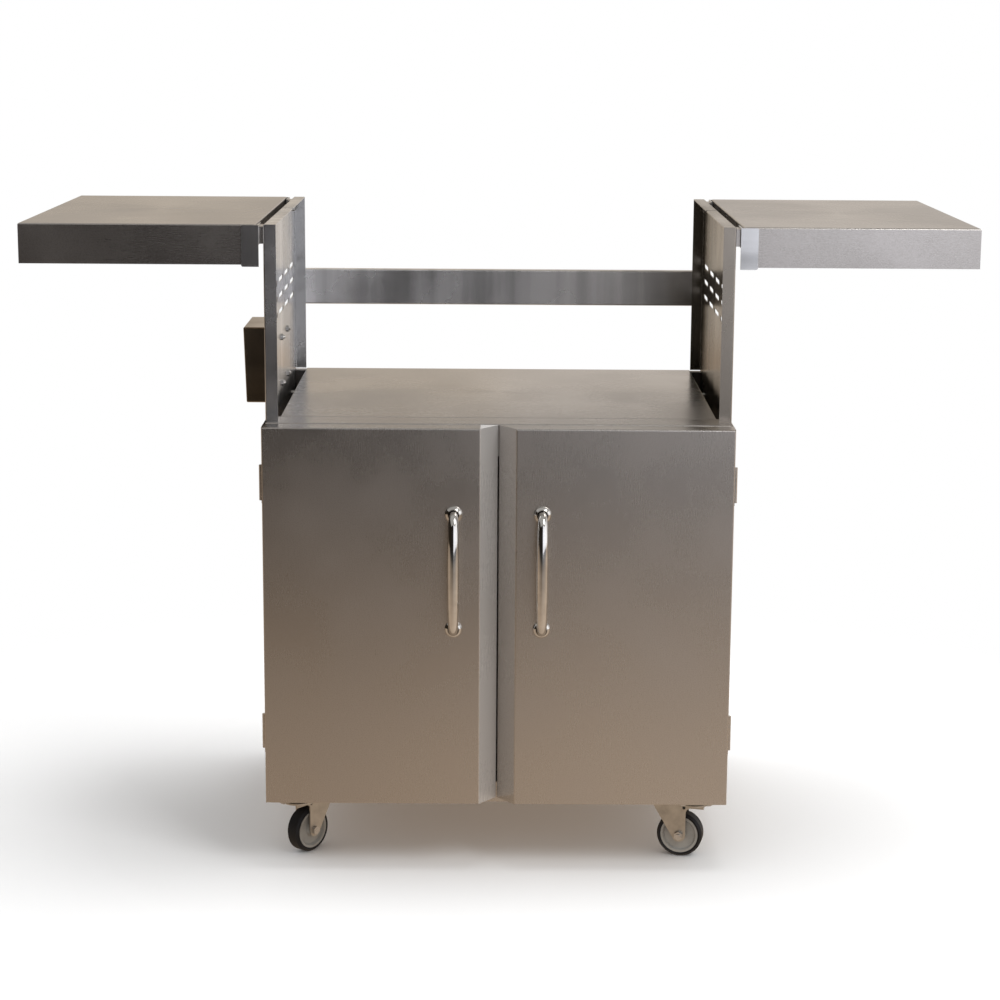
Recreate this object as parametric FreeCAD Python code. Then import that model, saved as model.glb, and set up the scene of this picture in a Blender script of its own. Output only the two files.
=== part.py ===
import FreeCAD, Part
import math
import os

# Grill cart: a folded-sheet cabinet on casters, with two pedestals for a drop-in grill head.
# Millimetres. +X is the viewer's right, -Y the front, +Z up, the origin on the floor under the middle.

# Sheet metal
sheet = 1.5
bend = 1.0
flange = 20.0

# Cabinet
cabinet_width = 743.0
cabinet_depth = 602.0
cabinet_height = 626.0
deck_skirt = 25.0
rail_depth = 62.0
rail_height = 40.0
floor_lip = 36.0
slot_length = 75.0
slot_height = 8.0
slot_pitch = 27.0
slot_rows = 3
slot_columns = 5
slot_column_pitch = 107.0

# Doors
door_depth = 36.0
door_gap = 2.0
door_rise = 11.0
door_top_gap = 1.0
door_vee_width = 27.5
door_centre_gap = 2.0
door_return = 18.0

# Pedestals and the bar behind them
pedestal_setback = 22.5
pedestal_height = 310.0
pedestal_tongue = 110.0
tab_front_length = 138.0
tab_middle_length = 181.0
tab_front_gap = 2.0
tab_rear_gap = 5.0
tab_corner = 9.0
slots_below_top = 115.0
crossbar_height = 63.0
crossbar_depth = 20.0
crossbar_rise = 117.0

# Folding shelves
shelf_length = 371.0
shelf_skirt = 63.0
shelf_lip = 25.0
shelf_offset = 12.0
shelf_gap = 0.5
pivot_offset = 21.0
pivot_drop = 50.0
pivot_radius = 4.0
bracket_thickness = 2.5
bracket_width = 27.5
bracket_offset = 7.0
bracket_height = 65.0
bracket_leg_depth = 48.0
bracket_leg_height = 31.0

# Box on the left pedestal
box_width = 61.0
box_taper = 4.0
box_depth = 145.0
box_height = 128.0
box_setback = 264.0
box_rise = -14.0
box_bolt_inset = 18.0

# Hinges and handles
hinge_height = 57.0
hinge_leaf = 25.0
hinge_offset = 4.0
hinge_radius = 3.5
hinge_pin_radius = 2.0
hinge_end = 82.0
handle_from_middle = 70.0
handle_centres = 186.0
handle_projection = 40.0
handle_end_radius = 7.0
handle_grip_radius = 8.8
handle_rise = 384.0
rosette_radius = 14.0
rosette_height = 7.0

# Casters
caster_height = 103.0
caster_inset = 45.0
wheel_radius = 37.5
wheel_width = 26.0
hub_radius = 31.0
hub_recess = 4.0
axle_radius = 4.0
caster_trail = 22.0
fork_sheet = 2.5
fork_gap = 1.5
fork_rear = 46.0
raceway_radius = 25.0
raceway_height = 8.0
kingpin_radius = 5.0
plate_length = 84.0
plate_width = 62.0
plate_thickness = 3.0
caster_headings = {"front_left": 50.0, "front_right": 166.0, "rear_left": 35.0, "rear_right": 130.0}

# Fits
running_fit = 0.05
press_fit = 0.02
side_play = 0.3
head_radius = 5.5
head_height = 3.5
screw_head_radius = 3.6
screw_head_height = 1.4

# Places that follow from the sizes above
total_depth = handle_projection + door_depth + door_gap + cabinet_depth + crossbar_depth
door_front = handle_projection - total_depth / 2
door_back = door_front + door_depth
cabinet_front = door_back + door_gap
cabinet_back = cabinet_front + cabinet_depth
cabinet_side = cabinet_width / 2
cabinet_bottom = caster_height
deck_top = cabinet_bottom + cabinet_height
door_bottom = cabinet_bottom + door_rise
door_top = deck_top - door_top_gap
pedestal_side = cabinet_side - sheet
pedestal_front = cabinet_front + pedestal_setback
pedestal_top = deck_top + pedestal_height
pedestal_inside = pedestal_side - flange
shelf_inner = pedestal_side + shelf_offset
shelf_outer = shelf_inner + shelf_length
shelf_front = pedestal_front + shelf_gap
shelf_back = cabinet_back - shelf_gap
pivot_x = pedestal_side + pivot_offset
pivot_z = pedestal_top - pivot_drop
bracket_inner = pedestal_side + bracket_offset
hinge_x = cabinet_side + hinge_offset
hinge_y = door_back + door_gap / 2
crossbar_bottom = deck_top + crossbar_rise
hidden = 5.0


def vec(x, y, z):
    return FreeCAD.Vector(x, y, z)


def block(x0, x1, y0, y1, z0, z1):
    return Part.makeBox(x1 - x0, y1 - y0, z1 - z0, vec(x0, y0, z0))


def rod(radius, start, end):
    return Part.makeCylinder(radius, (end - start).Length, start, end - start)


def mirrored(shape):
    return shape.mirror(vec(0, 0, 0), vec(1, 0, 0))


def on_plane(edge, axis, value):
    return all(abs(getattr(v.Point, axis) - value) < 0.001 for v in edge.Vertexes)


def pan(low, high, base, open_sides):
    # A folded sheet tray: skin on the base side, walls around it, the side opposite the base open.
    # Sides are written like "x1" for the high x side and "z0" for the low z side.
    outside = {"x0": low.x, "x1": high.x, "y0": low.y, "y1": high.y, "z0": low.z, "z1": high.z}
    mouth = base[0] + str(1 - int(base[1]))
    openings = list(open_sides) + [mouth]
    inside = {}
    for side, value in outside.items():
        inward = 1 if side[1] == "0" else -1
        step = -hidden if side in openings else sheet
        inside[side] = value + inward * step
    outer = block(*[outside[s] for s in ("x0", "x1", "y0", "y1", "z0", "z1")])
    inner = block(*[inside[s] for s in ("x0", "x1", "y0", "y1", "z0", "z1")])
    outer = rounded(outer, base, outside, openings, bend + sheet)
    inner = rounded(inner, base, inside, openings, bend)
    return outer.cut(inner)


def rounded(shape, base, sides, openings, radius):
    edges = []
    for edge in shape.Edges:
        if not on_plane(edge, base[0], sides[base]):
            continue
        if any(on_plane(edge, s[0], sides[s]) for s in openings):
            continue
        edges.append(edge)
    return shape.makeFillet(radius, edges)


def outline(points):
    # A closed wire of straight lines, and of arcs where a point is written as (middle, end).
    edges = []
    here = points[0]
    for step in points[1:]:
        if isinstance(step, tuple):
            edges.append(Part.Arc(here, step[0], step[1]).toShape())
            here = step[1]
        else:
            edges.append(Part.LineSegment(here, step).toShape())
            here = step
    if (here - points[0]).Length > 0.001:
        edges.append(Part.LineSegment(here, points[0]).toShape())
    return Part.Wire(edges)


def obround(length, height, depth, centre, along, through):
    # A rounded slot cutter: "along" is its long direction and "through" the way it cuts.
    across = through.cross(along)
    half = along * (length / 2 - height / 2)
    rise = across * (height / 2)
    cap = along * (height / 2)
    start = centre - through * (depth / 2)
    wire = outline([
        start - half - rise,
        start + half - rise,
        (start + half + cap, start + half + rise),
        start - half + rise,
        (start - half - cap, start - half - rise),
    ])
    return Part.Face(wire).extrude(through * depth)


def hexagon(radius, height, base, direction):
    side = vec(0, 0, 1) if abs(direction.z) < 0.5 else vec(1, 0, 0)
    start = base + side * radius
    points = []
    for corner in range(7):
        turn = FreeCAD.Rotation(direction, 60 * corner)
        points.append(base + turn.multVec(start - base))
    return Part.Face(Part.makePolygon(points)).extrude(direction * height)


def bolt_head(seat, direction):
    # The visible hex head of a bolt, seated on the sheet; the shank is left out.
    return hexagon(head_radius, head_height, seat, direction)


def dome_nut(seat, direction):
    nut = hexagon(head_radius, head_height, seat, direction)
    cap = Part.makeCone(head_radius - 1, head_radius - 3.5, head_radius - 2, seat + direction * head_height, direction)
    return nut.fuse(cap)


def screw_head(seat, direction):
    return hexagon(screw_head_radius, screw_head_height, seat, direction)


def group(shapes):
    return Part.makeCompound(shapes)


# Fastener places, shared by the fasteners and by the holes they pass through
def crossbar_bolt_places():
    x = pedestal_inside + flange / 2
    middle = crossbar_bottom + crossbar_height / 2
    spread = crossbar_height / 2 - 14
    return [(x, middle - spread), (x, middle + spread)]


def pedestal_bolt_places():
    spread = cabinet_depth / 2 - 100
    middle = (pedestal_front + cabinet_back) / 2
    low = deck_top - pedestal_tongue + 22
    high = deck_top - 34
    return [(middle + y, z) for y in (-spread, spread) for z in (low, high)]


def bracket_bolt_places(front):
    edge = shelf_front if front else shelf_back
    inward = 1 if front else -1
    z = pedestal_top - bracket_leg_height / 2 - 2
    return [(edge + inward * reach, z) for reach in (16, bracket_leg_depth - 14)]


def box_span():
    front = pedestal_front + box_setback
    bottom = deck_top + box_rise
    return front, front + box_depth, bottom, bottom + box_height


def box_bolt_places():
    front, back, bottom, top = box_span()
    low = deck_top + box_bolt_inset
    high = top - box_bolt_inset
    return [(y, z) for y in (front + box_bolt_inset, back - box_bolt_inset) for z in (low, high)]


def hinge_heights():
    return [door_bottom + hinge_end + hinge_height / 2, door_top - hinge_end - hinge_height / 2 + 16]


def hinge_screw_heights(middle):
    reach = hinge_height / 2 - 12
    return [middle - reach, middle + reach]


def caster_places():
    x = cabinet_side - caster_inset
    near = cabinet_front + caster_inset
    far = cabinet_back - caster_inset
    return {"front_left": (-x, near), "front_right": (x, near), "rear_left": (-x, far), "rear_right": (x, far)}


def caster_bolt_places(x, y):
    dx = plate_width / 2 - 10
    dy = plate_length / 2 - 10
    return [(x + i * dx, y + j * dy) for i in (-1, 1) for j in (-1, 1)]


# Cabinet
def side_panel():
    low = vec(cabinet_side - flange - sheet, cabinet_front, cabinet_bottom)
    high = vec(cabinet_side, cabinet_back, deck_top - sheet)
    return pan(low, high, "x1", ["z1"])


def floor_pan():
    # The floor lies on the side panels' bottom flanges, its lips turned up all round.
    inner = pedestal_side - sheet - side_play
    front = cabinet_front + sheet
    low = vec(-inner, front, cabinet_bottom + sheet)
    high = vec(inner, cabinet_back - 2 * sheet, cabinet_bottom + floor_lip)
    return pan(low, high, "z0", [])


def back_panel():
    # Closes the back between the floor and the deck; its top edge folds forward under the deck.
    inner = pedestal_side - sheet - side_play
    low = vec(-inner, cabinet_back - sheet - flange, cabinet_bottom + sheet)
    high = vec(inner, cabinet_back - sheet, deck_top - sheet)
    panel = pan(low, high, "y1", ["x0", "x1", "z0"])
    across = vec(1, 0, 0)
    for column in range(slot_columns):
        x = (column - (slot_columns - 1) / 2) * slot_column_pitch
        for row in range(slot_rows):
            z = deck_top - 3 * slot_pitch - row * slot_pitch
            centre = vec(x, cabinet_back - sheet, z)
            panel = panel.cut(obround(slot_length, slot_height, 3 * hidden, centre, across, vec(0, 1, 0)))
    return panel


def front_rail():
    # A folded rail over the door opening; its top flange is the strip in front of the deck.
    end = pedestal_side - sheet - side_play
    low = vec(-end, cabinet_front + sheet, deck_top - rail_height)
    high = vec(end, cabinet_front + rail_depth, deck_top)
    return pan(low, high, "z1", ["x0", "x1"])


def deck():
    edge = pedestal_inside - side_play
    low = vec(-edge, cabinet_front + rail_depth + side_play, deck_top - deck_skirt)
    high = vec(edge, cabinet_back, deck_top)
    sheet_top = pan(low, high, "z1", [])
    # The rear skirt stops short so that the deck rests on the back panel's fold.
    rear = block(-cabinet_side, cabinet_side, cabinet_back - flange - 2 * sheet, cabinet_back + hidden,
                 deck_top - deck_skirt - hidden, deck_top - sheet)
    return sheet_top.cut(rear)


def pedestal():
    low = vec(pedestal_inside, pedestal_front, deck_top)
    high = vec(pedestal_side, cabinet_back, pedestal_top)
    post = pan(low, high, "x1", ["z0"])
    tongue_front = cabinet_front + rail_depth + 10
    tongue_back = cabinet_back - flange - 10
    tongue = block(pedestal_side - sheet, pedestal_side, tongue_front, tongue_back,
                   deck_top - pedestal_tongue, deck_top + 2 * hidden)
    post = post.fuse(tongue).removeSplitter()
    post = post.cut(top_tab_gaps())
    for centre in pedestal_slot_places():
        post = post.cut(obround(slot_length, slot_height, 4 * hidden, centre, vec(0, 1, 0), vec(1, 0, 0)))
    return post


def pedestal_slot_places():
    # Vent slots in the web, in rows under the shelf and columns from front to back.
    middle = (pedestal_front + cabinet_back) / 2
    places = []
    for column in range(slot_columns):
        y = middle + (column - (slot_columns - 1) / 2) * slot_column_pitch
        for row in range(slot_rows):
            z = pedestal_top - slots_below_top - row * slot_pitch
            places.append(vec(pedestal_side, y, z))
    return places


def top_tab_gaps():
    # Relief gaps that part the top flange into three tabs; the middle one has a rounded inner corner.
    inner_edge = pedestal_inside - hidden
    bend_line = pedestal_side - sheet - bend
    top = pedestal_top + hidden
    under = pedestal_top - sheet - hidden
    first = pedestal_front + tab_front_length
    second = first + tab_front_gap + tab_middle_length
    gaps = block(inner_edge, bend_line, first, first + tab_front_gap, under, top)
    gaps = gaps.fuse(block(inner_edge, bend_line, second, second + tab_rear_gap, under, top))
    corner = block(inner_edge, pedestal_inside + tab_corner, second - tab_corner, second + 1, under, top)
    centre = vec(pedestal_inside + tab_corner, second - tab_corner, under)
    corner = corner.cut(Part.makeCylinder(tab_corner, top - under, centre))
    return gaps.fuse(corner)


def crossbar():
    end = pedestal_side - 2 * sheet
    low = vec(-end, cabinet_back, crossbar_bottom)
    high = vec(end, cabinet_back + crossbar_depth, crossbar_bottom + crossbar_height)
    return pan(low, high, "y0", ["x0", "x1"])


def frame_bolts():
    bolts = []
    for y, z in pedestal_bolt_places():
        one = bolt_head(vec(pedestal_side - sheet, y, z), vec(-1, 0, 0))
        bolts += [one, mirrored(one)]
    for x, z in crossbar_bolt_places():
        one = bolt_head(vec(x, cabinet_back + sheet, z), vec(0, 1, 0))
        bolts += [one, mirrored(one)]
    return group(bolts)


def door_catch():
    # A twin magnetic catch under the front rail, one magnet for each door.
    half = 24.0
    depth = 14.0
    top = deck_top - rail_height
    front = cabinet_front + sheet
    body = block(-half, half, front, front + depth, top - 12, top)
    body = body.makeChamfer(1.5, [e for e in body.Edges if on_plane(e, "z", top - 12)])
    for x in (-half / 2, half / 2):
        magnet = block(x - 8, x + 8, front - door_gap, front + 2, top - 9, top - 3)
        body = body.fuse(magnet)
    return body


# Doors
def door():
    # A deep folded pan whose inner edge is bent back in a long slope, so the pair forms a vee groove.
    inner = door_centre_gap / 2
    front = outline([
        vec(cabinet_side, door_front, door_bottom),
        vec(cabinet_side, door_back, door_bottom),
        vec(inner, door_back, door_bottom),
        vec(inner + door_vee_width, door_front, door_bottom),
    ])
    outer = Part.Face(front).extrude(vec(0, 0, door_top - door_bottom))
    edges = [e for e in outer.Edges if on_plane(e, "y", door_front)]
    outer = outer.makeFillet(bend + sheet, edges)
    slope = sheet * math.hypot(door_vee_width, door_depth) / door_depth
    run = door_vee_width * sheet / door_depth
    hollow = outline([
        vec(cabinet_side - sheet, door_front + sheet, door_bottom + sheet),
        vec(cabinet_side - sheet, door_back - sheet, door_bottom + sheet),
        vec(inner + slope + run, door_back - sheet, door_bottom + sheet),
        vec(inner + slope + door_vee_width - run, door_front + sheet, door_bottom + sheet),
    ])
    leaf = outer.cut(Part.Face(hollow).extrude(vec(0, 0, door_top - door_bottom - 2 * sheet)))
    window = block(inner + 2 * door_return, cabinet_side - door_return, door_back - 2 * sheet, door_back + hidden,
                   door_bottom + door_return, door_top - door_return)
    return leaf.cut(window)


def handle_heights():
    middle = door_bottom + handle_rise
    return [middle - handle_centres / 2, middle + handle_centres / 2]


def handle():
    # Two elbows rise from the rosettes and meet a spindle that is thickest at its middle.
    low, high = handle_heights()
    seat = door_front - rosette_height
    reach = handle_projection - rosette_height - handle_grip_radius
    parts = []
    for z, side in ((low, 1), (high, -1)):
        end = Part.makeCircle(handle_end_radius, vec(handle_from_middle, seat, z), vec(0, 1, 0))
        disc = Part.Face(Part.Wire(end))
        centre = vec(handle_from_middle, seat, z + side * reach)
        parts.append(disc.revolve(centre, vec(1, 0, 0), -90 * side))
    parts.append(handle_spindle(vec(handle_from_middle, seat - reach, low + reach), high - low - 2 * reach))
    return parts[2].fuse(parts[:2]).removeSplitter()


def handle_spindle(foot, length):
    rim = foot + vec(handle_end_radius, 0, 0)
    belly = foot + vec(handle_grip_radius, 0, length / 2)
    far = vec(0, 0, length)
    swell = Part.Arc(rim, belly, rim + far).toShape()
    edges = [Part.makeLine(foot, rim), swell, Part.makeLine(rim + far, foot + far), Part.makeLine(foot + far, foot)]
    return Part.Face(Part.Wire(edges)).revolve(foot, vec(0, 0, 1), 360)


def handle_rosettes():
    rings = []
    out = vec(0, -1, 0)
    for z in handle_heights():
        base = vec(handle_from_middle, door_front, z)
        rings.append(Part.makeCone(rosette_radius, handle_end_radius + 1.5, rosette_height, base, out))
    return group(rings)


def door_screws():
    screws = []
    for z in handle_heights():
        screws.append(screw_head(vec(handle_from_middle, door_front + sheet, z), vec(0, 1, 0)))
    for middle in hinge_heights():
        for z in hinge_screw_heights(middle):
            y = hinge_y - hinge_leaf + 8
            screws.append(screw_head(vec(cabinet_side + sheet, y, z), vec(1, 0, 0)))
    return group(screws)


def door_strike():
    # A steel plate inside the door's top return, facing the magnet.
    top = deck_top - rail_height
    inner = door_centre_gap / 2 + 5
    return block(inner, inner + 20, door_back, door_back + 0.8, top - 10, top - 2)


def knuckles(parity):
    # Three knuckles share the barrel: the outer two belong to the frame, the middle one to the door.
    third = hinge_height / 3
    return [1] if parity else [0, 2], third


def hinge_leaf_shape(middle, on_door):
    chosen, third = knuckles(on_door)
    bottom = middle - hinge_height / 2
    reach = -hinge_leaf if on_door else hinge_leaf
    clear = hinge_radius + 2 * side_play
    y0, y1 = sorted((hinge_y + reach, hinge_y + math.copysign(clear, reach)))
    leaf = block(cabinet_side, cabinet_side + sheet, y0, y1, bottom, bottom + hinge_height)
    for index in range(3):
        z0 = bottom + index * third
        if index in chosen:
            z1 = z0 + third
            play0 = side_play / 2 if index > 0 else 0
            play1 = side_play / 2 if index < 2 else 0
            barrel = rod(hinge_radius, vec(hinge_x, hinge_y, z0 + play0), vec(hinge_x, hinge_y, z1 - play1))
            near = hinge_y + math.copysign(clear + 1, reach)
            low, high = sorted((hinge_y, near))
            web = block(cabinet_side + sheet / 2, cabinet_side + 2 * sheet, low, high, z0 + play0, z1 - play1)
            leaf = leaf.fuse(barrel).fuse(web)
    fit = running_fit if on_door else press_fit
    return leaf.cut(rod(hinge_pin_radius + fit, vec(hinge_x, hinge_y, 0), vec(hinge_x, hinge_y, deck_top)))


def hinge_pin(middle):
    low = vec(hinge_x, hinge_y, middle - hinge_height / 2)
    high = vec(hinge_x, hinge_y, middle + hinge_height / 2)
    return rod(hinge_pin_radius, low, high)


def frame_hinge_leaves():
    leaves = [hinge_leaf_shape(middle, False) for middle in hinge_heights()]
    return group(leaves + [mirrored(leaf) for leaf in leaves])


def hinge_pins():
    pins = [hinge_pin(middle) for middle in hinge_heights()]
    return group(pins + [mirrored(pin) for pin in pins])


def frame_hinge_screws():
    screws = []
    for middle in hinge_heights():
        for z in hinge_screw_heights(middle):
            y = hinge_y + hinge_leaf - 8
            one = screw_head(vec(cabinet_side + sheet, y, z), vec(1, 0, 0))
            screws += [one, mirrored(one)]
    return group(screws)


def door_hinge_leaves():
    return group([hinge_leaf_shape(middle, True) for middle in hinge_heights()])


# Shelves
def shelf():
    low = vec(shelf_inner, shelf_front, pedestal_top - shelf_skirt)
    high = vec(shelf_outer, shelf_back, pedestal_top)
    tray = pan(low, high, "z1", [])
    below_lip = block(shelf_inner - hidden, shelf_inner + sheet, shelf_front + sheet, shelf_back - sheet,
                      pedestal_top - shelf_skirt - hidden, pedestal_top - shelf_lip)
    tray = tray.cut(below_lip)
    axis_start = vec(pivot_x, shelf_front - hidden, pivot_z)
    axis_end = vec(pivot_x, shelf_back + hidden, pivot_z)
    return tray.cut(rod(pivot_radius + running_fit, axis_start, axis_end))


def shelf_bracket(front):
    # An ear in front of the shelf's skirt, folded from a leg that is bolted through a spacer.
    edge = shelf_front - shelf_gap if front else shelf_back + shelf_gap
    outward = -1 if front else 1
    y0, y1 = sorted((edge, edge + outward * bracket_thickness))
    top = pedestal_top - 1
    ear = block(bracket_inner, bracket_inner + bracket_width, y0, y1, top - bracket_height, top)
    corner = [e for e in ear.Edges if on_plane(e, "x", bracket_inner + bracket_width)
              and abs(e.Vertexes[0].Y - e.Vertexes[1].Y) > 0.001]
    ear = ear.makeFillet(3, corner)
    far = edge - outward * bracket_leg_depth
    l0, l1 = sorted((edge + outward * bracket_thickness, far))
    leg = block(bracket_inner, bracket_inner + bracket_thickness, l0, l1, top - bracket_leg_height, top)
    bracket = ear.fuse(leg)
    pocket = edge + outward * (bracket_thickness - 1)
    hole = rod(pivot_radius + press_fit, vec(pivot_x, edge - outward, pivot_z), vec(pivot_x, pocket, pivot_z))
    return bracket.cut(hole)


def bracket_spacer(front):
    edge = shelf_front if front else shelf_back
    inward = 1 if front else -1
    y0, y1 = sorted((edge + inward * 4, edge + inward * (bracket_leg_depth - 4)))
    top = pedestal_top - 1 - sheet - bend
    return block(pedestal_side, bracket_inner, y0, y1, top - bracket_leg_height + 4, top)


def bracket_spacers():
    spacers = [bracket_spacer(front) for front in (True, False)]
    return group(spacers + [mirrored(one) for one in spacers])


def bracket_bolts():
    bolts = []
    for front in (True, False):
        for y, z in bracket_bolt_places(front):
            one = bolt_head(vec(pedestal_side - sheet, y, z), vec(-1, 0, 0))
            bolts += [one, mirrored(one)]
    return group(bolts)


def shelf_pins():
    pins = []
    for front in (True, False):
        edge = shelf_front - shelf_gap if front else shelf_back + shelf_gap
        inward = 1 if front else -1
        start = vec(pivot_x, edge - inward * (bracket_thickness - 1), pivot_z)
        skirt = vec(pivot_x, edge + inward * (shelf_gap + sheet + side_play), pivot_z)
        end = skirt + vec(0, 3 * inward, 0)
        one = rod(pivot_radius, start, end).fuse(rod(pivot_radius + 3, skirt, end))
        pins += [one, mirrored(one)]
    return group(pins)


# Box on the left pedestal
def side_box():
    front, back, bottom, top = box_span()
    wall = -pedestal_side
    side = outline([
        vec(wall, front, bottom),
        vec(wall, front, top),
        vec(wall - box_width, front, top),
        vec(wall - box_width + box_taper, front, bottom),
    ])
    outer = Part.Face(side).extrude(vec(0, box_depth, 0))
    outer = outer.makeFillet(bend + sheet, [e for e in outer.Edges if not on_plane(e, "x", wall)])
    # The lower edge stands off the thicker cabinet side below the deck.
    step = block(wall - sheet, wall + hidden, front - hidden, back + hidden, bottom - hidden, deck_top)
    inner = block(wall - box_width + box_taper + sheet, wall + hidden, front + sheet, back - sheet,
                  bottom + sheet, top - sheet)
    return outer.cut(inner).cut(step).fuse(box_back_plate())


def box_back_plate():
    front, back, bottom, top = box_span()
    wall = -pedestal_side
    return block(wall - 2 * sheet, wall, front + sheet, back - sheet, deck_top, top - sheet)


def side_box_bolts():
    seat = -pedestal_side - 2 * sheet
    return group([bolt_head(vec(seat, y, z), vec(-1, 0, 0)) for y, z in box_bolt_places()])


def side_box_nuts():
    seat = -pedestal_side + sheet
    return group([dome_nut(vec(seat, y, z), vec(1, 0, 0)) for y, z in box_bolt_places()])


# Casters
def raceway_top():
    return cabinet_bottom - plate_thickness


def crown_top():
    return raceway_top() - raceway_height


def caster_plate(x, y):
    # The fixed part: top plate, upper raceway and the kingpin that the fork turns on.
    top = cabinet_bottom
    plate = block(x - plate_width / 2, x + plate_width / 2, y - plate_length / 2, y + plate_length / 2,
                  top - plate_thickness, top)
    plate = plate.makeFillet(8, [e for e in plate.Edges if abs(e.Vertexes[0].Z - e.Vertexes[1].Z) > 1])
    race_height = raceway_top() - crown_top() - side_play
    race = Part.makeCone(raceway_radius + 1, raceway_radius - 3, race_height, vec(x, y, raceway_top()), vec(0, 0, -1))
    foot = crown_top() - fork_sheet - side_play
    pin = rod(kingpin_radius, vec(x, y, raceway_top()), vec(x, y, foot))
    head = rod(kingpin_radius + 3, vec(x, y, foot), vec(x, y, foot - 2))
    return plate.fuse(race).fuse(pin).fuse(head)


def fork_leg(offset):
    # One pressed leg in the wheel's plane, broad at the crown and narrowing to the axle's eye.
    eye = 11.0
    crown = crown_top()
    skirt = 7.0
    rear = vec(caster_trail + fork_rear, offset, crown)
    axle = vec(caster_trail, offset, wheel_radius)
    reach = rear - axle
    distance = reach.Length
    slope = math.atan2(reach.z, reach.x) - math.acos(eye / distance)
    tangent = axle + vec(math.cos(slope), 0, math.sin(slope)) * eye
    front = axle - vec(eye, 0, 0)
    under = axle + vec(math.cos(math.radians(250)), 0, math.sin(math.radians(250))) * eye
    throat = 9.0
    neck = crown - skirt - throat
    half = throat * (1 - math.sqrt(0.5))
    wire = outline([
        vec(-raceway_radius + 6, offset, crown),
        rear,
        tangent,
        (under, front),
        vec(front.x, offset, neck),
        (vec(front.x - half, offset, crown - skirt - half), vec(front.x - throat, offset, crown - skirt)),
        vec(-raceway_radius + 6, offset, crown - skirt),
    ])
    leg = Part.Face(wire).extrude(vec(0, fork_sheet, 0))
    bore = vec(caster_trail, offset - 1, wheel_radius)
    leg = leg.cut(rod(axle_radius + press_fit, bore, bore + vec(0, fork_sheet + 2, 0)))
    eyelet = vec(caster_trail - 8, offset - 1, crown - 6.5)
    return leg.cut(rod(2.8, eyelet, eyelet + vec(0, fork_sheet + 2, 0)))


def caster_fork():
    inside = wheel_width / 2 + fork_gap
    crown = crown_top()
    top = Part.makeCylinder(raceway_radius, fork_sheet, vec(0, 0, crown - fork_sheet))
    roof = block(0, caster_trail + 16, -inside - fork_sheet, inside + fork_sheet, crown - fork_sheet, crown)
    fork = top.fuse(roof).fuse(fork_leg(inside)).fuse(fork_leg(-inside - fork_sheet))
    fork = fork.cut(Part.makeCylinder(kingpin_radius + running_fit, caster_height))
    return fork.removeSplitter()


def caster_axle():
    reach = wheel_width / 2 + fork_gap + fork_sheet
    along = vec(0, 1, 0)
    near = vec(caster_trail, -reach, wheel_radius)
    far = vec(caster_trail, reach, wheel_radius)
    axle = rod(axle_radius, near, far)
    axle = axle.fuse(hexagon(7.5, 4.5, near - along * 4.5, along))
    axle = axle.fuse(hexagon(7.5, 6, far, along))
    return axle.fuse(rod(axle_radius, far, far + along * 8))


def caster_hub():
    half = wheel_width / 2 + fork_gap - side_play
    rim = wheel_width / 2 - 1.0
    floor = rim - hub_recess
    bore = axle_radius + running_fit
    profile = outline([
        vec(bore, half, 0),
        vec(axle_radius + 6, half, 0),
        vec(axle_radius + 7.5, floor, 0),
        vec(hub_radius - 6, floor, 0),
        vec(hub_radius - 3.5, rim, 0),
        vec(hub_radius, rim, 0),
        vec(hub_radius, -rim, 0),
        vec(hub_radius - 3.5, -rim, 0),
        vec(hub_radius - 6, -floor, 0),
        vec(axle_radius + 7.5, -floor, 0),
        vec(axle_radius + 6, -half, 0),
        vec(bore, -half, 0),
    ])
    return on_axle(Part.Face(profile).revolve(vec(0, 0, 0), vec(0, 1, 0), 360))


def caster_tyre():
    half = wheel_width / 2
    shoulder = 4.0
    profile = outline([
        vec(hub_radius + press_fit, half - 2, 0),
        vec(hub_radius + 3, half, 0),
        vec(wheel_radius - shoulder, half, 0),
        vec(wheel_radius, half - shoulder, 0),
        vec(wheel_radius, shoulder - half, 0),
        vec(wheel_radius - shoulder, -half, 0),
        vec(hub_radius + 3, -half, 0),
        vec(hub_radius + press_fit, 2 - half, 0),
    ])
    return on_axle(Part.Face(profile).revolve(vec(0, 0, 0), vec(0, 1, 0), 360))


def on_axle(shape):
    shape.translate(vec(caster_trail, 0, wheel_radius))
    return shape


def set_caster(shape, corner):
    x, y = caster_places()[corner]
    shape.rotate(vec(0, 0, 0), vec(0, 0, 1), caster_headings[corner])
    shape.translate(vec(x, y, 0))
    return shape


def caster_bolts():
    bolts = []
    for x, y in caster_places().values():
        for px, py in caster_bolt_places(x, y):
            bolts.append(bolt_head(vec(px, py, cabinet_bottom - plate_thickness), vec(0, 0, -1)))
    return group(bolts)


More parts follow.
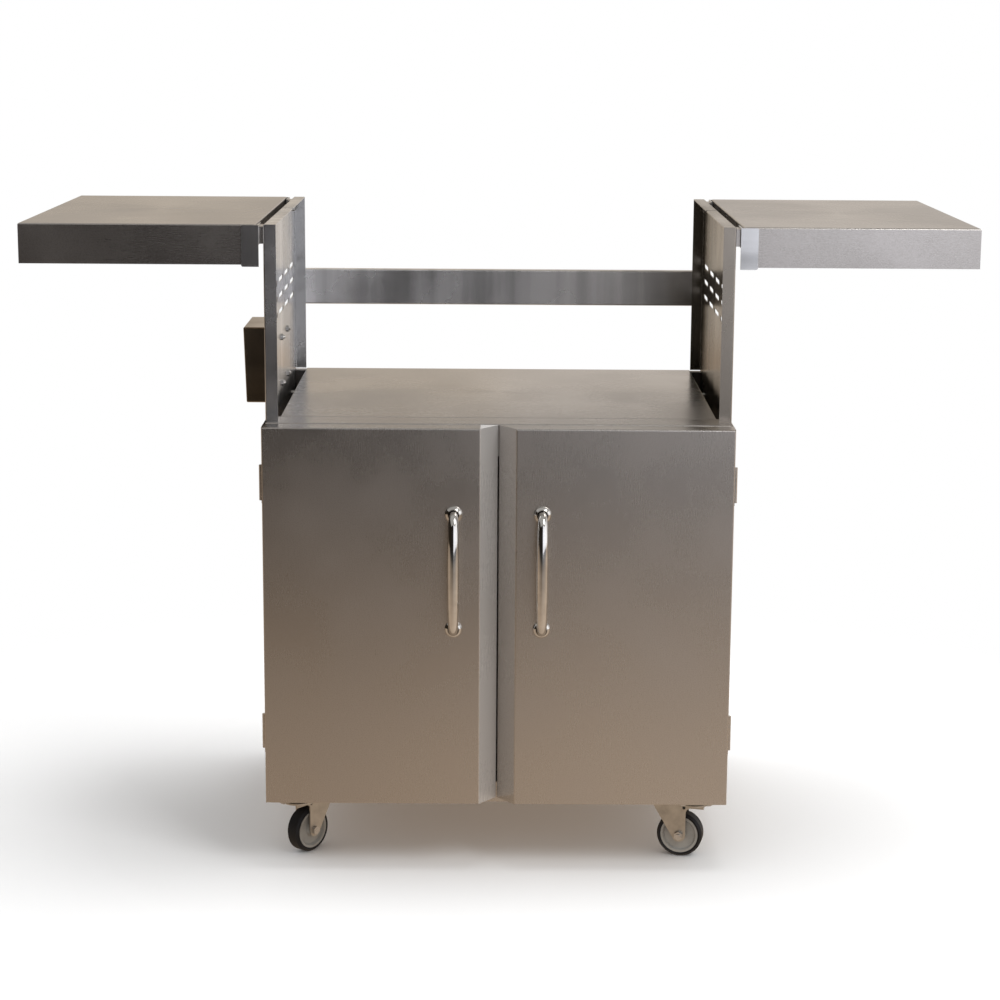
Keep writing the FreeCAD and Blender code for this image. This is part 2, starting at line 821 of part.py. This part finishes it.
def build():
    nodes = {
        "right_side_panel": side_panel(),
        "left_side_panel": mirrored(side_panel()),
        "floor_pan": floor_pan(),
        "back_panel": back_panel(),
        "front_rail": front_rail(),
        "deck": deck(),
        "right_pedestal": pedestal(),
        "left_pedestal": mirrored(pedestal()),
        "crossbar": crossbar(),
        "frame_bolts": frame_bolts(),
        "door_catch": door_catch(),
        "bracket_spacers": bracket_spacers(),
        "bracket_bolts": bracket_bolts(),
        "shelf_pivot_pins": shelf_pins(),
        "side_box": side_box(),
        "side_box_bolts": side_box_bolts(),
        "side_box_nuts": side_box_nuts(),
        "frame_hinge_leaves": frame_hinge_leaves(),
        "frame_hinge_screws": frame_hinge_screws(),
        "hinge_pins": hinge_pins(),
        "caster_bolts": caster_bolts(),
    }
    for place, front in (("front", True), ("rear", False)):
        nodes["right_" + place + "_bracket"] = shelf_bracket(front)
        nodes["left_" + place + "_bracket"] = mirrored(shelf_bracket(front))
    moving = {
        "door": door,
        "handle": handle,
        "handle_rosettes": handle_rosettes,
        "door_screws": door_screws,
        "door_strike": door_strike,
        "door_hinge_leaves": door_hinge_leaves,
        "shelf": shelf,
    }
    for name, make in moving.items():
        nodes["right_" + name] = make()
        nodes["left_" + name] = mirrored(make())
    for corner, (x, y) in caster_places().items():
        nodes[corner + "_caster_plate"] = caster_plate(x, y)
        nodes[corner + "_caster_fork"] = set_caster(caster_fork(), corner)
        nodes[corner + "_caster_axle"] = set_caster(caster_axle(), corner)
        nodes[corner + "_caster_hub"] = set_caster(caster_hub(), corner)
        nodes[corner + "_caster_tyre"] = set_caster(caster_tyre(), corner)
    return nodes


os.makedirs("parts", exist_ok=True)
for name, shape in build().items():
    shape.exportStep("parts/" + name + ".step")
    print(name, "solids", len(shape.Solids), "valid", shape.isValid())
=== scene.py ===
import math

import bmesh
import bpy
from mathutils import Matrix, Vector


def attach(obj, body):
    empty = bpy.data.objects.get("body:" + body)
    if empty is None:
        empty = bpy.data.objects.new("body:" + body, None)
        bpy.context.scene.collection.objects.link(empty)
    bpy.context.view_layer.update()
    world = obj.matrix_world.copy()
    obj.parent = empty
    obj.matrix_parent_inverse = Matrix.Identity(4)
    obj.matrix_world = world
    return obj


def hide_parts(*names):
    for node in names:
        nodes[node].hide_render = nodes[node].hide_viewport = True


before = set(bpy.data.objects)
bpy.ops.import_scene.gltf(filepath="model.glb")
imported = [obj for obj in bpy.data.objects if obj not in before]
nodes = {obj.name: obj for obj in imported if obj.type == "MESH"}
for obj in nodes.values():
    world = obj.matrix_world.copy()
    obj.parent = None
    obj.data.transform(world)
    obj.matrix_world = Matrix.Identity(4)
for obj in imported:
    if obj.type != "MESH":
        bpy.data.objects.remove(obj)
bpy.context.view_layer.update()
scene = bpy.context.scene
sides = ("left", "right")
corners = ("front_left", "front_right", "rear_left", "rear_right")
print("frame loaded", len(nodes), "nodes")


# Small helpers for shader graphs

def newMaterial(name):
    mat = bpy.data.materials.new(name)
    mat.use_nodes = True
    mat.node_tree.nodes.clear()
    return mat, mat.node_tree


def addNode(tree, kind, **values):
    node = tree.nodes.new(kind)
    for key, value in values.items():
        setattr(node, key, value)
    return node


def setInputs(node, values):
    for key, value in values.items():
        node.inputs[key].default_value = value
    return node


def stretchedCoords(tree, scale):
    coords = addNode(tree, "ShaderNodeTexCoord")
    mapping = addNode(tree, "ShaderNodeMapping")
    mapping.inputs["Scale"].default_value = scale
    tree.links.new(coords.outputs["Object"], mapping.inputs["Vector"])
    return mapping.outputs["Vector"]


def noise(tree, vector, scale, detail=4.0, rough=0.55):
    tex = addNode(tree, "ShaderNodeTexNoise")
    setInputs(tex, {"Scale": scale, "Detail": detail, "Roughness": rough})
    tree.links.new(vector, tex.inputs["Vector"])
    return tex.outputs["Fac"]


def span(tree, source, low, high, fromLow=0.3, fromHigh=0.7):
    ramp = addNode(tree, "ShaderNodeMapRange", clamp=True)
    setInputs(ramp, {"From Min": fromLow, "From Max": fromHigh, "To Min": low, "To Max": high})
    tree.links.new(source, ramp.inputs["Value"])
    return ramp.outputs["Result"]


def blendColours(tree, factor, first, second):
    mix = addNode(tree, "ShaderNodeMix", data_type="RGBA")
    mix.inputs["A"].default_value = (*first, 1)
    mix.inputs["B"].default_value = (*second, 1)
    tree.links.new(factor, mix.inputs["Factor"])
    return mix.outputs["Result"]


def addBump(tree, height, strength, distance, normal=None):
    bump = addNode(tree, "ShaderNodeBump")
    setInputs(bump, {"Strength": strength, "Distance": distance})
    tree.links.new(height, bump.inputs["Height"])
    if normal is not None:
        tree.links.new(normal, bump.inputs["Normal"])
    return bump.outputs["Normal"]


def surface(tree, values):
    shader = setInputs(addNode(tree, "ShaderNodeBsdfPrincipled"), values)
    out = addNode(tree, "ShaderNodeOutputMaterial")
    tree.links.new(shader.outputs["BSDF"], out.inputs["Surface"])
    return shader


# Satin sheet: long brush grain, faint smears from handling, tiny specks
satinSheet = {
    "light": (0.565, 0.537, 0.508),
    "dark": (0.535, 0.507, 0.478),
    "roughLow": 0.24,
    "roughHigh": 0.32,
    "grain": 2400.0,
    "stretch": 0.02,
    "speck": (0.84, 0.83, 0.82),
    "anisotropy": 0.35,
}


# Painted highlight: past a set X in the door's own axes, the base colour turns pale grey and the metal drops, so
# that strip looks lit
def paintFacetHighlight(tree, shader, colour, facet):
    coords = addNode(tree, "ShaderNodeTexCoord")
    split = addNode(tree, "ShaderNodeSeparateXYZ")
    tree.links.new(coords.outputs["Object"], split.inputs["Vector"])
    mask = span(tree, split.outputs["X"], 0, 1, facet["start"], facet["start"] + facet["soft"])
    mix = addNode(tree, "ShaderNodeMix", data_type="RGBA")
    mix.inputs["B"].default_value = (*facet["colour"], 1)
    tree.links.new(mask, mix.inputs["Factor"])
    tree.links.new(colour, mix.inputs["A"])
    tree.links.new(mix.outputs["Result"], shader.inputs["Base Color"])
    tree.links.new(span(tree, mask, 1.0, facet["metal"], 0, 1), shader.inputs["Metallic"])


def makeSatinSheet(name, grainAxis, look=satinSheet, facet=None):
    mat, tree = newMaterial(name)
    scale = [1.0, 1.0, 1.0]
    scale["xyz".index(grainAxis)] = look["stretch"]
    grainVector = stretchedCoords(tree, scale)
    plain = stretchedCoords(tree, (1, 1, 1))
    grain = noise(tree, grainVector, look["grain"], 3.0)
    smears = noise(tree, plain, 6.0, 5.0)
    specks = noise(tree, plain, 700.0, 2.0, 0.7)
    shader = surface(tree, {"Metallic": 1.0, "Anisotropic": look["anisotropy"]})
    tint = blendColours(tree, span(tree, grain, 0, 1, 0.35, 0.65), look["dark"], look["light"])
    dull = addNode(tree, "ShaderNodeMix", data_type="RGBA", blend_type="MULTIPLY")
    dull.inputs["Factor"].default_value = 1.0
    tree.links.new(tint, dull.inputs["A"])
    tree.links.new(blendColours(tree, span(tree, specks, 0, 1, 0.36, 0.52), look["speck"], (1, 1, 1)),
                   dull.inputs["B"])
    tree.links.new(dull.outputs["Result"], shader.inputs["Base Color"])
    addUp = addNode(tree, "ShaderNodeMath", operation="ADD")
    tree.links.new(span(tree, smears, look["roughLow"], look["roughHigh"]), addUp.inputs[0])
    tree.links.new(span(tree, grain, -0.015, 0.015), addUp.inputs[1])
    tree.links.new(addUp.outputs[0], shader.inputs["Roughness"])
    # The optional facet gets a painted highlight
    if facet is not None:
        paintFacetHighlight(tree, shader, dull.outputs["Result"], facet)
    wavy = addBump(tree, noise(tree, plain, 5.0, 1.0), 0.10, 0.003)
    tree.links.new(addBump(tree, grain, 0.03, 0.0002, wavy), shader.inputs["Normal"])
    return mat


# Painted light and shade: satin sheet tinted lighter or darker per part, with soft bands along one axis, fading
# from one tone to another
paintedLightSheets = {
    # Painted light on the left pedestal (pale grey, dimmer towards the back) and painted shade on the right one
    # (dark brown, darker towards the back)
    "satinPedestalLeftPaintedLight": {"axis": "Y", "from": -0.25, "to": 0.33,
                          "start": (0.86, 0.86, 0.87), "end": (0.66, 0.66, 0.66)},
    "satinPedestalRightPaintedShade": {"axis": "Y", "from": -0.25, "to": 0.33,
                           "start": (0.40, 0.36, 0.31), "end": (0.30, 0.27, 0.22)},
    # Painted light along the crossbar: near-white at its left end, darkening to brown at its right end
    "satinBarPaintedLight": {"axis": "X", "from": -0.35, "to": 0.35,
                 "start": (0.88, 0.87, 0.87), "end": (0.46, 0.43, 0.39)},
    # Painted shade on the side box: dark brown, a little lighter towards its top
    "satinBoxPaintedShade": {"axis": "Z", "from": 0.72, "to": 0.84,
                 "start": (0.30, 0.24, 0.17), "end": (0.36, 0.30, 0.23)},
    # Painted highlight on the shelf brackets: pale grey, lighter towards their top
    "satinBracketPaintedHighlight": {"axis": "Z", "from": 0.95, "to": 1.04,
                     "start": (0.66, 0.66, 0.65), "end": (0.74, 0.74, 0.74)},
}


def makePaintedLightSheet(name, look):
    mat, tree = newMaterial(name)
    coords = addNode(tree, "ShaderNodeTexCoord")
    split = addNode(tree, "ShaderNodeSeparateXYZ")
    tree.links.new(coords.outputs["Object"], split.inputs["Vector"])
    place = split.outputs[look["axis"]]
    tone = blendColours(tree, span(tree, place, 0, 1, look["from"], look["to"]), look["start"], look["end"])
    stretch = [0.02, 0.02, 0.02]
    stretch["XYZ".index(look["axis"])] = 1.0
    bands = noise(tree, stretchedCoords(tree, stretch), 26.0, 3.0)
    plain = stretchedCoords(tree, (1, 1, 1))
    shade = addNode(tree, "ShaderNodeMix", data_type="RGBA", blend_type="MULTIPLY")
    shade.inputs["Factor"].default_value = 1.0
    tree.links.new(tone, shade.inputs["A"])
    tree.links.new(blendColours(tree, span(tree, bands, 0, 1, 0.35, 0.62), (0.72, 0.72, 0.72), (1, 1, 1)),
                   shade.inputs["B"])
    shader = surface(tree, {"Metallic": 1.0, "Anisotropic": satinSheet["anisotropy"]})
    tree.links.new(shade.outputs["Result"], shader.inputs["Base Color"])
    tree.links.new(span(tree, noise(tree, plain, 8.0, 4.0), 0.2, 0.3), shader.inputs["Roughness"])
    tree.links.new(addBump(tree, noise(tree, plain, 1500.0, 2.0), 0.03, 0.0002), shader.inputs["Normal"])
    return mat


# Polished handles and dome nuts
polished = {"light": (0.80, 0.785, 0.76), "dark": (0.62, 0.60, 0.57), "roughLow": 0.05, "roughHigh": 0.14}


def makePolished(name, look=polished):
    mat, tree = newMaterial(name)
    plain = stretchedCoords(tree, (1, 1, 1))
    smears = noise(tree, plain, 45.0, 4.0)
    fine = noise(tree, plain, 900.0, 2.0)
    shader = surface(tree, {"Metallic": 1.0})
    tree.links.new(blendColours(tree, span(tree, smears, 0, 1), look["dark"], look["light"]),
                   shader.inputs["Base Color"])
    tree.links.new(span(tree, smears, look["roughLow"], look["roughHigh"]), shader.inputs["Roughness"])
    tree.links.new(addBump(tree, fine, 0.04, 0.0003), shader.inputs["Normal"])
    return mat


# Zinc-plated pressings and plain steel fasteners
zinc = {"light": (0.56, 0.53, 0.48), "dark": (0.44, 0.41, 0.36), "roughLow": 0.30, "roughHigh": 0.5}
plainSteel = {"light": (0.66, 0.65, 0.63), "dark": (0.46, 0.45, 0.43), "roughLow": 0.2, "roughHigh": 0.4}


def makePlated(name, look):
    mat, tree = newMaterial(name)
    plain = stretchedCoords(tree, (1, 1, 1))
    blotches = noise(tree, plain, 60.0, 5.0)
    fine = noise(tree, plain, 1400.0, 2.0)
    shader = surface(tree, {"Metallic": 1.0})
    tree.links.new(blendColours(tree, span(tree, blotches, 0, 1), look["dark"], look["light"]),
                   shader.inputs["Base Color"])
    tree.links.new(span(tree, blotches, look["roughHigh"], look["roughLow"]), shader.inputs["Roughness"])
    tree.links.new(addBump(tree, fine, 0.08, 0.0004), shader.inputs["Normal"])
    return mat


# Rubber tyre, moulded hub and catch
rubber = {"light": (0.016, 0.016, 0.018), "dark": (0.006, 0.006, 0.008), "roughLow": 0.45, "roughHigh": 0.75}
hubPlastic = {"light": (0.42, 0.42, 0.40), "dark": (0.30, 0.30, 0.29), "roughLow": 0.3, "roughHigh": 0.5}
catchPlastic = {"light": (0.55, 0.54, 0.52), "dark": (0.45, 0.44, 0.42), "roughLow": 0.4, "roughHigh": 0.6}


def makeMoulded(name, look, texture=800.0):
    mat, tree = newMaterial(name)
    plain = stretchedCoords(tree, (1, 1, 1))
    dust = noise(tree, plain, 35.0, 6.0)
    fine = noise(tree, plain, texture, 2.0)
    shader = surface(tree, {"Specular IOR Level": 0.3})
    tree.links.new(blendColours(tree, span(tree, dust, 0, 1), look["dark"], look["light"]),
                   shader.inputs["Base Color"])
    tree.links.new(span(tree, dust, look["roughLow"], look["roughHigh"]), shader.inputs["Roughness"])
    tree.links.new(addBump(tree, fine, 0.15, 0.0005), shader.inputs["Normal"])
    return mat


# Where the left door's facet starts, in that door's own axes; the facet beyond it gets a painted highlight
doorTurn = nodes["left_door"].matrix_world.inverted()
facetEdge = -0.0290
leftFacetPaintedHighlight = {
    "start": (doorTurn @ Vector((facetEdge, 0, 0))).x,
    "soft": 0.0012,
    "colour": (0.60, 0.59, 0.58),
    "metal": 0.4,
}
makeSatinSheet("satinLeftDoorPaintedHighlight", "z", facet=leftFacetPaintedHighlight)
makeSatinSheet("satinUpright", "z")
makeSatinSheet("satinAcross", "x")
for name, look in paintedLightSheets.items():
    makePaintedLightSheet(name, look)
chrome = makePolished("polishedChrome")
makePlated("zincPlate", zinc)
makePlated("plainFastener", plainSteel)
makeMoulded("tyreRubber", rubber)
makeMoulded("hubGrey", hubPlastic)
makeMoulded("catchGrey", catchPlastic)
print("materials made")

# Which finish goes on which node; the materials named Painted carry painted light and shade in their colour
finishes = {
    "satinAcross": ["front_rail", "deck", "left_shelf", "right_shelf", "floor_pan"],
    "satinPedestalLeftPaintedLight": ["left_pedestal"],
    "satinPedestalRightPaintedShade": ["right_pedestal"],
    "satinBarPaintedLight": ["crossbar"],
    "satinBoxPaintedShade": ["side_box"],
    "satinBracketPaintedHighlight": ["left_front_bracket", "right_front_bracket", "left_rear_bracket", "right_rear_bracket"],
    "satinLeftDoorPaintedHighlight": ["left_door"],
    "satinUpright": ["right_door", "left_side_panel", "right_side_panel", "back_panel",
                     "frame_hinge_leaves", "left_door_hinge_leaves", "right_door_hinge_leaves",
                     "bracket_spacers"],
    "polishedChrome": ["left_handle", "right_handle", "left_handle_rosettes", "right_handle_rosettes",
                       "side_box_nuts"],
    "plainFastener": ["frame_bolts", "bracket_bolts", "side_box_bolts", "frame_hinge_screws", "caster_bolts",
                      "left_door_screws", "right_door_screws", "hinge_pins", "shelf_pivot_pins",
                      "left_door_strike", "right_door_strike"],
    "catchGrey": ["door_catch"],
    "zincPlate": [],
    "hubGrey": [],
    "tyreRubber": [],
}
for corner in corners:
    finishes["zincPlate"] += [corner + "_caster_plate", corner + "_caster_fork"]
    finishes["plainFastener"].append(corner + "_caster_axle")
    finishes["hubGrey"].append(corner + "_caster_hub")
    finishes["tyreRubber"].append(corner + "_caster_tyre")


def dressNode(name, mat):
    obj = nodes[name]
    obj.data.materials.clear()
    obj.data.materials.append(mat)


for finish, names in finishes.items():
    for name in names:
        dressNode(name, bpy.data.materials[finish])

# A worn edge on the folded sheet; the round pieces keep their own normals
sheetEdge = 0.0005
edgeWidth = {"satinBracketPaintedHighlight": 0.0008, "zincPlate": 0.0006}
for finish in ("satinAcross", "satinLeftDoorPaintedHighlight", "satinUpright", "satinPedestalLeftPaintedLight", "satinPedestalRightPaintedShade",
               "satinBarPaintedLight", "satinBoxPaintedShade"):
    edgeWidth[finish] = sheetEdge
for finish, width in edgeWidth.items():
    for name in finishes[finish]:
        bevel = nodes[name].modifiers.new("wornEdge", "BEVEL")
        bevel.width = width
        bevel.segments = 2
        bevel.limit_method = "ANGLE"
        bevel.angle_limit = math.radians(40)
        bevel.harden_normals = True
print("nodes dressed")


# Handles: a bowed grip, thickest at its middle, on domed rosettes
grip = {
    "endRadius": 0.0070,
    "middleRadius": 0.0098,
    "rosetteHeight": 0.0068,
    "rings": 56,
    "around": 28,
    "bow": 0.55,
    "rise": 0.8,
    "swell": 1.6,
    "rosette": ((0.0140, 0), (0.0140, 0.0012), (0.0134, 0.0028),
                (0.0118, 0.0046), (0.0098, 0.0060), (0.0084, 0.0070)),
}


def worldBox(obj):
    points = [obj.matrix_world @ Vector(c) for c in obj.bound_box]
    low = Vector([min(p[i] for p in points) for i in range(3)])
    high = Vector([max(p[i] for p in points) for i in range(3)])
    return low, high


def meshPiece(name, verts, faces, mat, body, node):
    mesh = bpy.data.meshes.new(name)
    mesh.from_pydata(verts, [], faces)
    for face in mesh.polygons:
        face.use_smooth = True
    mesh.materials.append(mat)
    piece = bpy.data.objects.new(name, mesh)
    scene.collection.objects.link(piece)
    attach(piece, body)
    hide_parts(node)
    return piece


def ringFaces(rings, around, first=0):
    faces = []
    for ring in range(rings - 1):
        for step in range(around):
            a = first + ring * around + step
            b = first + ring * around + (step + 1) % around
            faces.append((a, b, b + around, a + around))
    return faces


def makeGrip(side):
    low, high = worldBox(nodes[side + "_handle"])
    x = (low.x + high.x) / 2
    bottom, top = low.z + grip["endRadius"], high.z - grip["endRadius"]
    seat = worldBox(nodes[side + "_handle_rosettes"])[1].y - grip["rosetteHeight"]
    reach = seat - low.y - grip["middleRadius"]
    path = []
    for ring in range(grip["rings"]):
        angle = math.pi * ring / (grip["rings"] - 1)
        out = math.sin(angle) ** grip["bow"] if 0 < ring < grip["rings"] - 1 else 0.0
        rise = -math.copysign(abs(math.cos(angle)) ** grip["rise"], math.cos(angle))
        path.append(Vector((x, seat - out * reach, (bottom + top) / 2 + rise * (top - bottom) / 2)))
    verts = []
    for ring, centre in enumerate(path):
        angle = math.pi * ring / (grip["rings"] - 1)
        radius = grip["endRadius"] + (grip["middleRadius"] - grip["endRadius"]) * math.sin(angle) ** grip["swell"]
        ahead = path[min(ring + 1, len(path) - 1)] - path[max(ring - 1, 0)]
        if ring in (0, len(path) - 1):
            ahead = Vector((0, -1 if ring == 0 else 1, 0))
        ahead.normalize()
        sideways = Vector((1, 0, 0))
        upright = ahead.cross(sideways)
        for step in range(grip["around"]):
            turn = 2 * math.pi * step / grip["around"]
            verts.append(centre + (sideways * math.cos(turn) + upright * math.sin(turn)) * radius)
    faces = ringFaces(grip["rings"], grip["around"])
    last = (grip["rings"] - 1) * grip["around"]
    faces.append(tuple(reversed(range(grip["around"]))))
    faces.append(tuple(range(last, last + grip["around"])))
    meshPiece(side + "Grip", verts, faces, chrome, side + "_door", side + "_handle")


def makeRosettes(side):
    low, high = worldBox(nodes[side + "_handle_rosettes"])
    x = (low.x + high.x) / 2
    edge = grip["rosette"][0][0]
    verts, faces = [], []
    for z in (low.z + edge, high.z - edge):
        first = len(verts)
        for radius, height in grip["rosette"]:
            for step in range(grip["around"]):
                turn = 2 * math.pi * step / grip["around"]
                verts.append((x + radius * math.cos(turn), high.y - height, z + radius * math.sin(turn)))
        faces += ringFaces(len(grip["rosette"]), grip["around"], first)
        faces.append(tuple(range(first, first + grip["around"])))
        end = first + (len(grip["rosette"]) - 1) * grip["around"]
        faces.append(tuple(reversed(range(end, end + grip["around"]))))
    meshPiece(side + "Rosettes", verts, faces, chrome, side + "_door", side + "_handle_rosettes")


for side in sides:
    makeGrip(side)
    makeRosettes(side)
print("handles made")

# Studio: pale floor that fades out around the object, cards that only the metal sees, soft lamps
studio = {
    "floorSize": 14.0,
    "floorDrop": 0.0005,
    "floorWhite": (0.97, 0.97, 0.97, 1),
    "acrossFrom": -0.35,
    "acrossTo": 0.35,
    "awayFar": -3.6,
    "awayNear": -0.8,
    "fadeFrom": 0.7,
    "fadeTo": 1.5,
    "nearLeft": (0.46, 0.355, 0.265),
    "nearRight": (0.60, 0.48, 0.375),
    "farLeft": (0.03, 0.03, 0.03),
    "farRight": (0.19, 0.19, 0.195),
    "worldLight": 0.85,
}


def mixShaders(tree, factor, first, second):
    mix = addNode(tree, "ShaderNodeMixShader")
    tree.links.new(factor, mix.inputs["Fac"])
    tree.links.new(first, mix.inputs[1])
    tree.links.new(second, mix.inputs[2])
    return mix.outputs["Shader"]


def makeFloor():
    bpy.ops.mesh.primitive_plane_add(size=studio["floorSize"], location=(0, 0, -studio["floorDrop"]))
    floor = bpy.context.object
    floor.name = "floor"
    mat, tree = newMaterial("paleFloor")
    coords = addNode(tree, "ShaderNodeTexCoord")
    split = addNode(tree, "ShaderNodeSeparateXYZ")
    tree.links.new(coords.outputs["Object"], split.inputs["Vector"])
    across = span(tree, split.outputs["X"], 0, 1, studio["acrossFrom"], studio["acrossTo"])
    away = addNode(tree, "ShaderNodeMix", data_type="RGBA")
    depth = span(tree, split.outputs["Y"], 1, 0, studio["awayFar"], studio["awayNear"])
    tree.links.new(depth, away.inputs["Factor"])
    tree.links.new(blendColours(tree, across, studio["nearLeft"], studio["nearRight"]), away.inputs["A"])
    tree.links.new(blendColours(tree, across, studio["farLeft"], studio["farRight"]), away.inputs["B"])
    mirrored = addNode(tree, "ShaderNodeEmission")
    tree.links.new(away.outputs["Result"], mirrored.inputs["Color"])
    seen = setInputs(addNode(tree, "ShaderNodeBsdfDiffuse"), {"Color": studio["floorWhite"]})
    clear = addNode(tree, "ShaderNodeBsdfTransparent")
    distance = addNode(tree, "ShaderNodeVectorMath", operation="LENGTH")
    tree.links.new(coords.outputs["Object"], distance.inputs[0])
    fade = span(tree, distance.outputs["Value"], 0, 1, studio["fadeFrom"], studio["fadeTo"])
    shown = mixShaders(tree, fade, seen.outputs["BSDF"], clear.outputs["BSDF"])
    rays = addNode(tree, "ShaderNodeLightPath")
    out = addNode(tree, "ShaderNodeOutputMaterial")
    both = mixShaders(tree, rays.outputs["Is Camera Ray"], mirrored.outputs["Emission"], shown)
    tree.links.new(both, out.inputs["Surface"])
    floor.data.materials.append(mat)


def makeWorld():
    world = bpy.data.worlds.new("studio")
    world.use_nodes = True
    tree = world.node_tree
    tree.nodes.clear()
    rays = addNode(tree, "ShaderNodeLightPath")
    either = addNode(tree, "ShaderNodeMath", operation="MAXIMUM")
    glass = addNode(tree, "ShaderNodeMath", operation="MAXIMUM")
    mix = addNode(tree, "ShaderNodeMixShader")
    soft = setInputs(addNode(tree, "ShaderNodeBackground"), {"Strength": studio["worldLight"]})
    white = setInputs(addNode(tree, "ShaderNodeBackground"), {"Strength": 1.0, "Color": (1, 1, 1, 1)})
    out = addNode(tree, "ShaderNodeOutputWorld")
    tree.links.new(rays.outputs["Is Camera Ray"], either.inputs[0])
    tree.links.new(rays.outputs["Is Glossy Ray"], either.inputs[1])
    tree.links.new(either.outputs[0], glass.inputs[0])
    tree.links.new(rays.outputs["Is Transmission Ray"], glass.inputs[1])
    tree.links.new(glass.outputs[0], mix.inputs["Fac"])
    tree.links.new(soft.outputs["Background"], mix.inputs[1])
    tree.links.new(white.outputs["Background"], mix.inputs[2])
    tree.links.new(mix.outputs["Shader"], out.inputs["Surface"])
    scene.world = world


# Cards around the set; the camera never sees them
cards = {
    "cardFrontLeft": {"at": (-3.2, -6.2, 1.6), "size": (6.4, 4.4),
        "turn": (90, 0, 0), "colour": (0.02, 0.016, 0.014)},
    "cardFrontRight": {"at": (3.9, -6.2, 1.6), "size": (6.4, 4.4),
        "turn": (90, 0, 0), "colour": (1.25, 1.27, 1.38)},
    "cardFrontMiddle": {"at": (0.35, -6.2, 1.6), "size": (0.7, 4.4),
        "turn": (90, 0, 0), "colour": (0.3, 0.3, 0.31)},
    "cardBackLeft": {"at": (-3.2, 6.0, 1.6), "size": (6.4, 4.4),
        "turn": (-90, 0, 0), "colour": (0.64, 0.565, 0.48)},
    "cardBackRight": {"at": (3.2, 6.0, 1.6), "size": (6.4, 4.4),
        "turn": (-90, 0, 0), "colour": (0.72, 0.66, 0.60)},
    "cardLeft": {"at": (-6.4, 0, 1.6), "size": (4.4, 12.4),
        "turn": (0, 90, 0), "colour": (0.02, 0.015, 0.01)},
    "cardRight": {"at": (6.4, 0, 1.6), "size": (4.4, 12.4),
        "turn": (0, -90, 0), "colour": (1.3, 1.3, 1.33)},
    "cardTop": {"at": (0, 0, 3.8), "size": (12.8, 12.4),
        "turn": (180, 0, 0), "colour": (0.42, 0.41, 0.40)},
}


def makeCard(name, look):
    mesh = bpy.data.meshes.new(name)
    shape = bmesh.new()
    bmesh.ops.create_grid(shape, x_segments=1, y_segments=1, size=0.5)
    bmesh.ops.scale(shape, vec=(*look["size"], 1), verts=shape.verts)
    shape.to_mesh(mesh)
    shape.free()
    card = bpy.data.objects.new(name, mesh)
    scene.collection.objects.link(card)
    card.location = look["at"]
    card.rotation_euler = [math.radians(a) for a in look["turn"]]
    card.visible_camera = False
    card.visible_diffuse = False
    card.visible_shadow = False
    mat, tree = newMaterial(name)
    glow = setInputs(addNode(tree, "ShaderNodeEmission"), {"Color": (*look["colour"], 1), "Strength": 1.0})
    out = addNode(tree, "ShaderNodeOutputMaterial")
    tree.links.new(glow.outputs["Emission"], out.inputs["Surface"])
    mesh.materials.append(mat)


lamps = {
    "keyLamp": {"at": (1.9, -2.4, 3.2), "aim": (0, 0, 0.6), "size": 1.6, "watts": 45, "mirrored": True},
    "topLamp": {"at": (0.4, 0.4, 3.6), "aim": (0, 0, 0.7), "size": 2.6, "watts": 90, "mirrored": False},
}


def makeLamp(name, look):
    data = bpy.data.lights.new(name, "AREA")
    data.energy = look["watts"]
    data.size = look["size"]
    lamp = bpy.data.objects.new(name, data)
    lamp.visible_glossy = look["mirrored"]
    scene.collection.objects.link(lamp)
    lamp.location = look["at"]
    aim = Vector(look["aim"]) - Vector(look["at"])
    lamp.rotation_euler = aim.to_track_quat("-Z", "Y").to_euler()


makeFloor()
makeWorld()
for name, look in cards.items():
    makeCard(name, look)
for name, look in lamps.items():
    makeLamp(name, look)
print("studio ready")


# Camera worked out from the corners of the doors, deck and pedestals
shot = {
    "at": (-0.00794, -3.97876, 1.3624),
    "pitch": 11.517,
    "yaw": 0.169,
    "roll": 0.374,
    "focalPixels": 2382.6,
    "imagePixels": 1000.0,
    "sensor": 36.0,
}


def makeCamera():
    data = bpy.data.cameras.new("photoCamera")
    data.sensor_width = shot["sensor"]
    data.lens = shot["sensor"] * shot["focalPixels"] / shot["imagePixels"]
    pitch, yaw, roll = (math.radians(shot[k]) for k in ("pitch", "yaw", "roll"))
    ahead = Vector((math.sin(yaw) * math.cos(pitch), math.cos(yaw) * math.cos(pitch), -math.sin(pitch)))
    right = Vector((math.cos(yaw), -math.sin(yaw), 0))
    up = right.cross(ahead)
    tiltedRight = right * math.cos(roll) + up * math.sin(roll)
    tiltedUp = up * math.cos(roll) - right * math.sin(roll)
    camera = bpy.data.objects.new("photoCamera", data)
    scene.collection.objects.link(camera)
    turn = Matrix((tiltedRight, tiltedUp, -ahead)).transposed()
    camera.matrix_world = Matrix.Translation(shot["at"]) @ turn.to_4x4()
    scene.camera = camera


makeCamera()
scene.view_settings.view_transform = "Standard"

print("scene complete")
